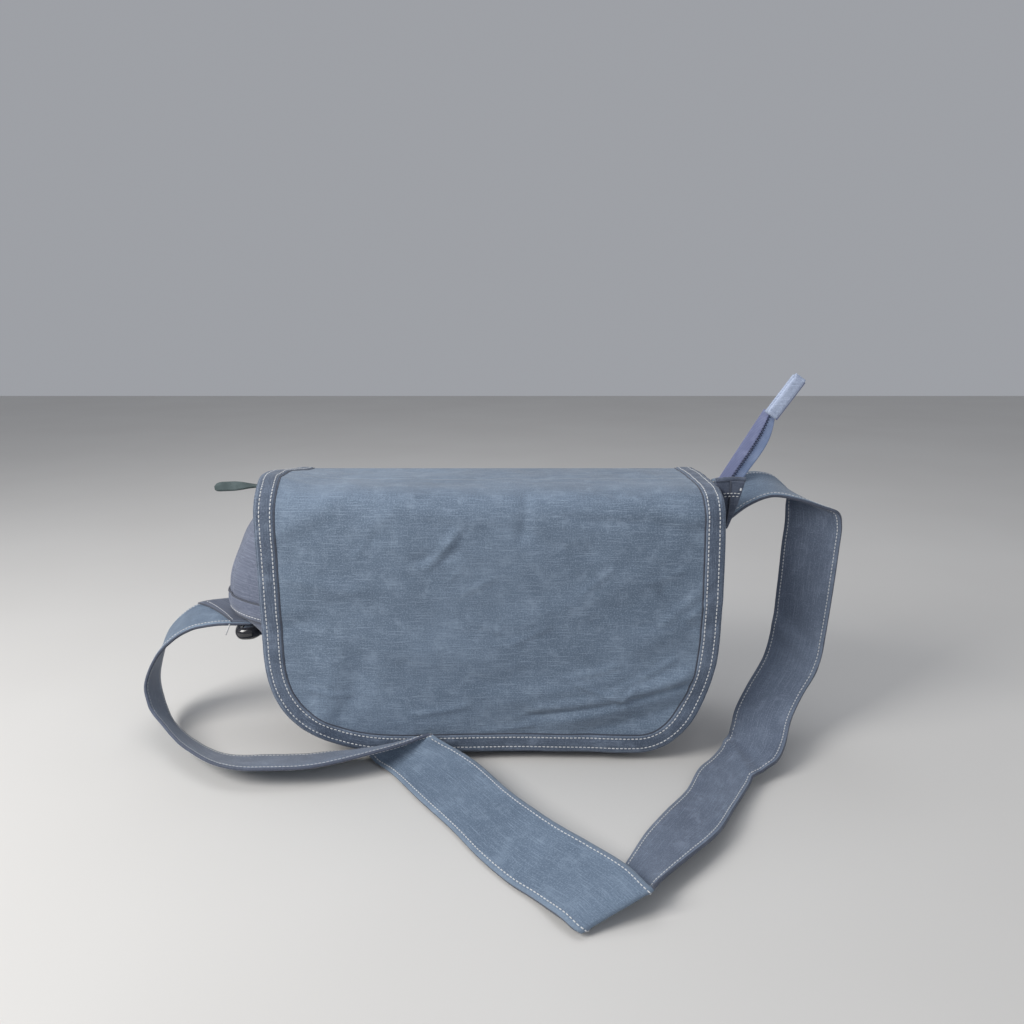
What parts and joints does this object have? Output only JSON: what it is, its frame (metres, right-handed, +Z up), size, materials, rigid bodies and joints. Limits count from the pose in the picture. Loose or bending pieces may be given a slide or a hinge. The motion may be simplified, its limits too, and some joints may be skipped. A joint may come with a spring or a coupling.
{
  "type": "messenger bag",
  "caption": "Soft canvas messenger bag with a full front flap, a zipped mouth, a pocket under the flap and a wide flat shoulder strap lying in a loop in front.",
  "frame": {"origin": "middle of the bag's base, on the surface it stands on", "axes": "+X to the right as seen from the front, along the flap; +Y to the back; +Z up"},
  "size_m": [0.5769, 0.3048, 0.299],
  "materials": {
    "canvas": "waxed cotton canvas, matte with a slight sheen",
    "canvas_dark": "doubled waxed canvas, matte",
    "gusset_canvas": "soft lavender-grey canvas, matte",
    "lining": "plain woven lining, matte",
    "stiffener": "plain board",
    "strap": "doubled waxed canvas with stitched edges",
    "zip_tape": "twill zip tape",
    "zip_teeth": "moulded nylon coil",
    "black_hardware": "gloss black",
    "pull_metal": "dark painted metal",
    "pull_leather": "soft teal-grey suede",
    "tail_tab": "pale lavender canvas tab"
  },
  "bodies": {
    "root": {"front_panel": "canvas_dark", "back_panel": "canvas", "bottom_panel": "canvas_dark", "base_board": "stiffener", "left_gusset": "gusset_canvas", "right_gusset": "gusset_canvas", "left_gusset_hem": "gusset_canvas", "right_gusset_tab": "canvas_dark", "front_pocket": "canvas_dark", "inner_pocket": "lining", "flap_seam_strip": "canvas", "zip_end_left": "canvas_dark", "zip_end_right": "canvas_dark", "zip_tail": "zip_tape", "zip_tail_teeth": "zip_teeth", "tail_end_tab": "tail_tab", "left_anchor_tab": "canvas_dark", "strap_slider": "black_hardware", "shoulder_strap": "strap"},
    "flap_top": {"flap_top_shell": "canvas", "flap_top_lining": "lining"},
    "flap_front": {"flap_front_shell": "canvas", "flap_front_lining": "lining", "flap_edge_band": "canvas"},
    "mouth_front": {"zip_panel_front": "canvas_dark", "zip_tape_front": "zip_tape", "zip_teeth_front": "zip_teeth"},
    "mouth_back": {"zip_panel_back": "canvas_dark", "zip_tape_back": "zip_tape", "zip_teeth_back": "zip_teeth"},
    "slider": {"zip_slider": "black_hardware"},
    "pull": {"pull_ring": "pull_metal", "pull_tab": "pull_leather"}
  },
  "joints": [
    {"name": "flap_open", "type": "hinge", "parent": "root", "child": "flap_top", "pos_m": [0, 0.057, 0.212], "axis": [-1, 0, 0], "range_deg": [0, 218]},
    {"name": "flap_bend", "type": "hinge", "parent": "flap_top", "child": "flap_front", "pos_m": [0, -0.057, 0.212], "axis": [-1, 0, 0], "range_deg": [0, 90]},
    {"name": "mouth_open", "type": "hinge", "parent": "root", "child": "mouth_front", "pos_m": [0, -0.0428, 0.204], "axis": [-1, 0, 0], "range_deg": [0, 75]},
    {"name": "mouth_open_back", "type": "hinge", "parent": "root", "child": "mouth_back", "pos_m": [0, 0.0488, 0.204], "axis": [-1, 0, 0], "range_deg": [-75, 0]},
    {"name": "zip_slide", "type": "slide", "parent": "root", "child": "slider", "axis": [1, 0, 0], "range_m": [0, 0.332]},
    {"name": "pull_swivel", "type": "hinge", "parent": "slider", "child": "pull", "pos_m": [-0.168, 0, 0.2088], "axis": [0, 0, 1], "range_deg": [-15, 15]}
  ],
  "couplings": [
    {"joint": "flap_bend", "follows": "flap_open", "ratio": 0.41},
    {"joint": "mouth_open_back", "follows": "mouth_open", "ratio": -1}
  ]
}
